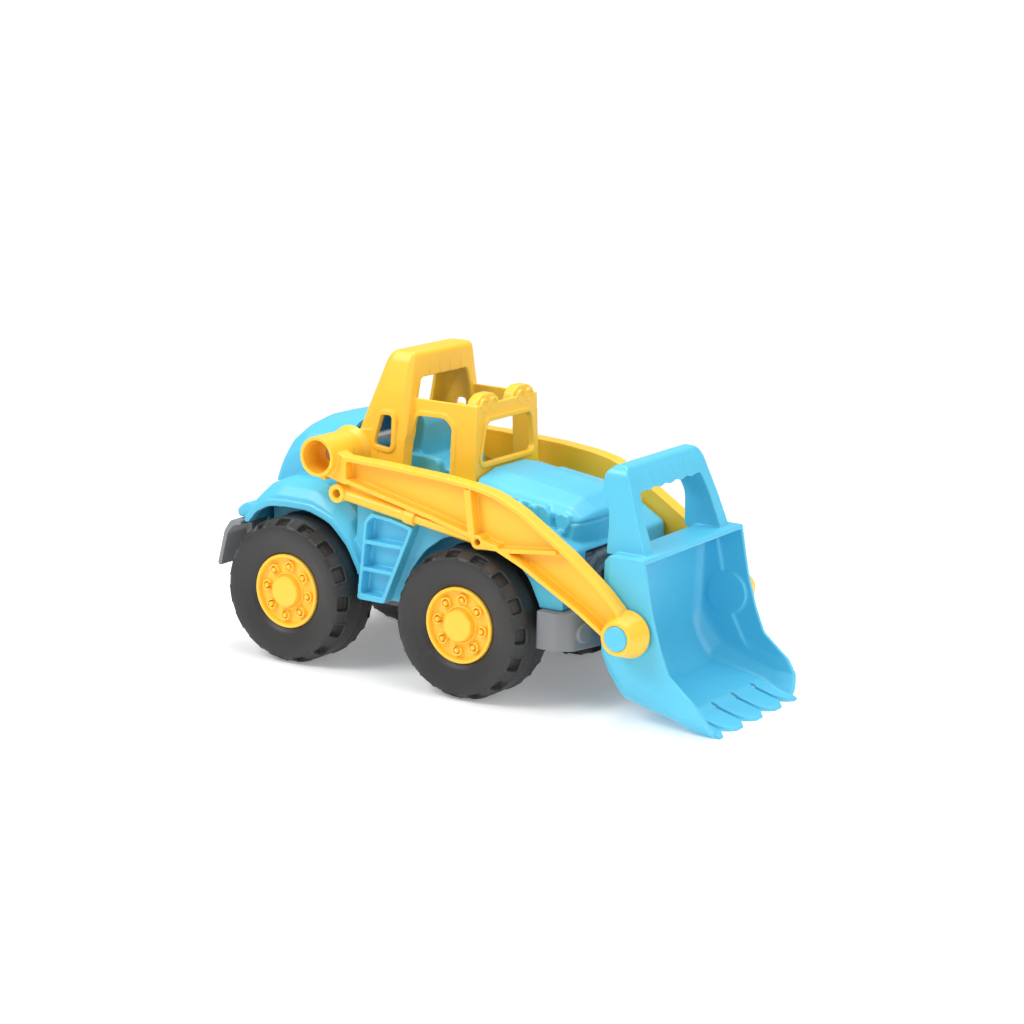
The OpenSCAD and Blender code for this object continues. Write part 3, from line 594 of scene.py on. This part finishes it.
# ---------------------------------------------------------------- moulded bodies
moulded(["body_shell"], "loader_body", "chassis", "blue_plastic", voxel=0.62, rounds=4, keep=0.28,
        zones=((zone_rear, 2.6), (zone_hump, 4.2), (zone_hood, 2.0), (zone_front, 2.0),
               (zone_step, 3.2)), carve=hood_seam)
moulded(["cab_frame"], "cab", "chassis", "yellow_plastic", voxel=0.42, rounds=3, keep=0.32,
        zones=((zone_loop, 1.8),))
moulded(["chassis_pan"], "chassis_tray", "chassis", "grey_plastic",
        voxel=0.55, rounds=3, keep=0.3)
moulded(["engine_grille"], "grille", "chassis", "dark_grey_plastic",
        voxel=0.42, rounds=3, keep=0.45)
moulded(["driver_seat"], "seat", "chassis", "blue_plastic", voxel=0.7, rounds=6, keep=0.35,
        zones=((zone_all, 2.0),))
for side, _ in SIDES:
    moulded([f"arm_{side}", f"arm_tube_{side}"], f"loader_arm_{side}", "loader_arms",
            "yellow_plastic", voxel=0.42, rounds=4, keep=0.35)
    moulded([f"bucket_pin_{side}"], f"bucket_pin_head_{side}", "bucket", "blue_plastic",
            voxel=0.35, rounds=3, keep=0.5)
moulded(["bucket"], "loader_bucket", "bucket", "blue_plastic", voxel=0.5, rounds=4, keep=0.3,
        zones=((zone_bucket, 3.0), (zone_handle, 1.6)))

# ---------------------------------------------------------------- hoses
# Centre lines of the left hoses: x from the front axle, y, z
UPPER_HOSE = [(58.5, 30.5, 66.5), (60.6, 30.6, 76), (61.0, 29.0, 84.5), (61.0, 20, 90.3),
              (61.0, 6, 92.0), (60.2, -1.5, 92.1)]
LOWER_HOSE = [(58.5, 22, 66.5), (60.6, 22.2, 73), (61.0, 19, 79.5), (61.0, 10, 82.6),
              (60.4, -1.5, 83.0)]


def hose(name, points, radius, clamps):
    """A hose through the points, with clamp rings at the given fractions of its length."""
    count = 28
    t = np.linspace(0, 1, 90)
    # Catmull-Rom through the points
    knots = np.vstack([2 * points[0] - points[1], points, 2 * points[-1] - points[-2]])
    position = t * (len(points) - 1)
    k = np.minimum(position.astype(int), len(points) - 2)
    u = (position - k)[:, None]
    a, b, c, d = knots[k], knots[k + 1], knots[k + 2], knots[k + 3]
    centre = 0.5 * (2 * b + (c - a) * u + (2 * a - 5 * b + 4 * c - d) * u ** 2
                    + (3 * b - a - 3 * c + d) * u ** 3)
    tangent = np.gradient(centre, axis=0)
    tangent /= np.linalg.norm(tangent, axis=1)[:, None]
    across = np.cross(tangent, np.array([1.0, 0.02, 0.03]))
    across /= np.linalg.norm(across, axis=1)[:, None]
    other = np.cross(tangent, across)
    radii = np.full(len(t), radius)
    for clamp in clamps:
        radii = radii + 0.8 * (1 - smoothstep(0.022, 0.034, np.abs(t - clamp)))
    angle = full_turn(count)[:, None, None]
    skin = centre[None] + radii[None, :, None] * (
        np.cos(angle) * across[None] + np.sin(angle) * other[None])
    start, end = (np.repeat(tip[None], count, 0) for tip in (centre[:1], centre[-1:]))
    skin = np.concatenate([start, skin, end], 1)
    skin[:, :, 0] += SX
    ob = grid_object(name, skin)
    weld(ob, 1e-6)
    smooth_all(ob)
    finish_piece(ob, "chassis", "dark_grey_plastic")


for side, sign in SIDES:
    mirror = np.array([1.0, sign, 1.0])
    hose(f"hose_upper_{side}", UPPER_HOSE * mirror, radius=3.0, clamps=(0.3, 0.62))
    hose(f"hose_lower_{side}", LOWER_HOSE * mirror, radius=2.4, clamps=(0.5,))

# ---------------------------------------------------------------- CAD pieces kept as they are
for slot, nodes in (
        ("grey_plastic", ("axle_retainer_front", "axle_retainer_rear")),
        ("steel", ("retainer_screws", "body_screws", "axle_front", "axle_rear",
                   "arm_cross_shaft"))):
    for node in nodes:
        NODES[node].data.materials.clear()
        NODES[node].data.materials.append(MATERIALS[slot])


# ---------------------------------------------------------------- floor, light, camera
def build_floor():
    """A pale floor that fades to glowing white away from the origin."""
    material, tree = new_material("studio_floor")
    paint = add(tree, "ShaderNodeBsdfPrincipled", {
        "Base Color": (0.93, 0.93, 0.93, 1), "Roughness": 0.6, "Specular IOR Level": 0.25,
        "Emission Color": (1, 1, 1, 1), "Emission Strength": 0.22})
    glow = add(tree, "ShaderNodeEmission", {"Color": (1, 1, 1, 1), "Strength": 1.02})
    place = add(tree, "ShaderNodeTexCoord").outputs["Object"]
    distance = add(tree, "ShaderNodeVectorMath", {0: place}, operation="LENGTH")
    far = remap(tree, distance.outputs["Value"], source=(0.22, 0.75),
                interpolation_type="SMOOTHERSTEP")
    set_output(tree, add(tree, "ShaderNodeMixShader",
                         {0: far, 1: paint.outputs[0], 2: glow.outputs[0]}))
    half = 12.0
    floor = mesh_object("studio_floor", [(-half, -half, 0), (half, -half, 0), (half, half, 0),
                                         (-half, half, 0)], [(0, 1, 2, 3)])
    floor.data.materials.append(material)


def build_world():
    """White all round: dimmer as a light than as the camera sees it."""
    world = bpy.data.worlds.new("studio")
    SCENE.world = world
    world.use_nodes = True
    tree = world.node_tree
    light = tree.nodes["Background"]
    light.inputs["Color"].default_value = (1.0, 1.0, 1.0, 1)
    light.inputs["Strength"].default_value = 0.44
    seen = add(tree, "ShaderNodeBackground", {"Color": (1.0, 1.0, 1.0, 1), "Strength": 1.05})
    rays = add(tree, "ShaderNodeLightPath")
    both = add(tree, "ShaderNodeMixShader", {
        0: rays.outputs["Is Camera Ray"], 1: light.outputs[0], 2: seen.outputs[0]})
    tree.links.new(both.outputs[0], tree.nodes["World Output"].inputs["Surface"])


# Area lights: name, place, target, size (all in metres), power in watts
LIGHTS = (
    ("key", (-0.75, -1.15, 1.35), (0, 0, 0.05), (0.9, 0.9), 21),
    ("fill", (1.7, -0.6, 0.9), (0, 0, 0.08), (1.3, 1.0), 11),
    ("top", (0.1, 0.4, 1.7), (0, 0, 0.05), (1.4, 1.1), 24),
)


def build_lights():
    for name, place, target, size, power in LIGHTS:
        light = bpy.data.lights.new(name, "AREA")
        light.shape = "RECTANGLE"
        light.size, light.size_y = size
        light.energy = power
        ob = bpy.data.objects.new(name, light)
        COLL.objects.link(ob)
        ob.location = place
        aim = Vector(target) - Vector(place)
        ob.rotation_euler = aim.to_track_quat("-Z", "Y").to_euler()


def build_camera():
    """A long lens ahead of the loader on its right, looking slightly down."""
    azimuth, elevation, roll = 0.5639, 0.2240, 0.0289          # radians
    # mm from the foot of the front axle's middle, along the camera's own axes
    shift_right, shift_up, distance = -8.7426, 103.826, 1686.34
    level_right = Vector((math.cos(azimuth), math.sin(azimuth), 0))
    back = Vector((math.sin(azimuth) * math.cos(elevation),
                   -math.cos(azimuth) * math.cos(elevation), math.sin(elevation)))
    level_up = back.cross(level_right)
    right = level_right * math.cos(roll) + level_up * math.sin(roll)
    up = level_up * math.cos(roll) - level_right * math.sin(roll)
    place = (right * shift_right + up * shift_up + back * distance + Vector((SX, 0, 0))) * MM

    data = bpy.data.cameras.new("camera")
    data.sensor_width = 36.0
    data.lens = 90.652852
    data.clip_start = 0.01
    data.clip_end = 50
    camera = bpy.data.objects.new("camera", data)
    COLL.objects.link(camera)
    camera.matrix_world = Matrix((*zip(right, up, back, place), (0, 0, 0, 1)))
    SCENE.camera = camera


build_floor()
build_world()
build_lights()
build_camera()
SCENE.view_settings.view_transform = "Standard"
SCENE.view_settings.look = "None"
SCENE.view_settings.exposure = 0.0

bpy.context.view_layer.update()
